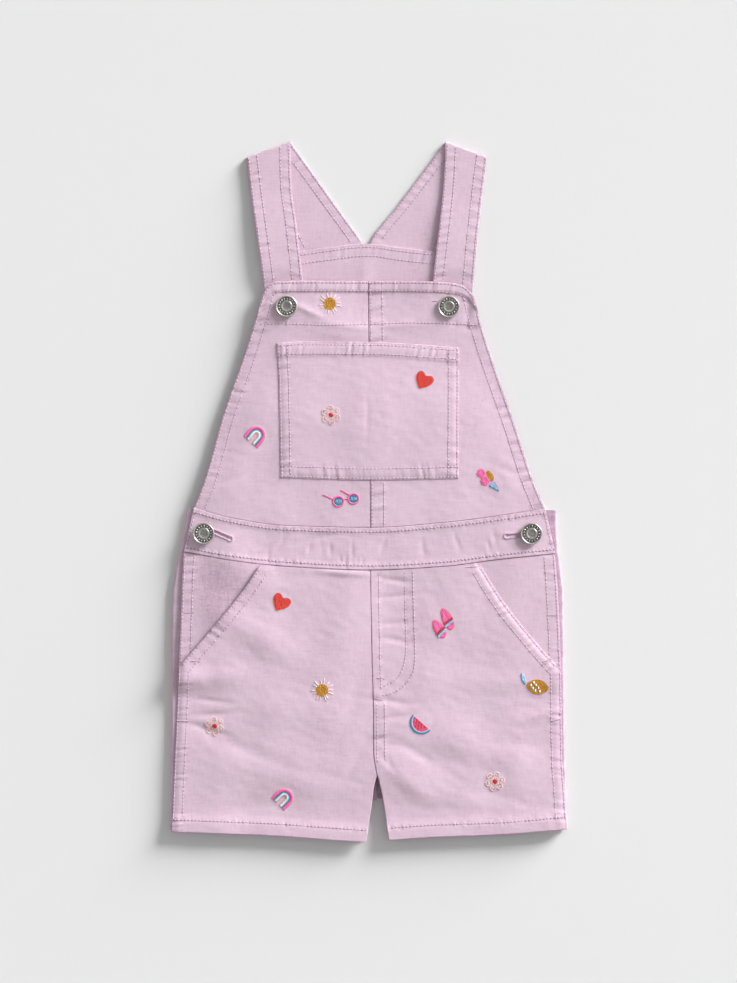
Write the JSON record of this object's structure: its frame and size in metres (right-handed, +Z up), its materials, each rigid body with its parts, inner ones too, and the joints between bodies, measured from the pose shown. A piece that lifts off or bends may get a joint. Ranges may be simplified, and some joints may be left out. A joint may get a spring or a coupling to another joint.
{
  "type": "toddler's shortalls",
  "caption": "Toddler's bib shortalls in lilac cotton twill with small embroidered motifs, buttoned up and laid out flat, front up.",
  "frame": {"origin": "on the surface that the garment lies on, under the middle of its outline", "axes": "+X to the right of someone who looks down on the garment, +Y from the leg hems to the shoulders, +Z up out of the surface"},
  "size_m": [0.2778, 0.49, 0.0096],
  "materials": {
    "twill": "lilac cotton twill, garment washed, matt",
    "nickel": "cast shank button, plated and slightly aged"
  },
  "bodies": {
    "root": {"back_leg_left": "twill", "strap_left": "twill", "front_leg_left": "twill", "slant_pocket_facing_left": "twill", "front_bib_left": "twill", "back_leg_right": "twill", "strap_right": "twill", "front_leg_right": "twill", "slant_pocket_facing_right": "twill", "front_bib_right": "twill", "back_bib": "twill", "front_waistband": "twill", "bib_pocket": "twill", "button_bib_left": "nickel", "button_bib_right": "nickel", "button_waist_left": "nickel", "button_waist_right": "nickel"}
  },
  "joints": []
}
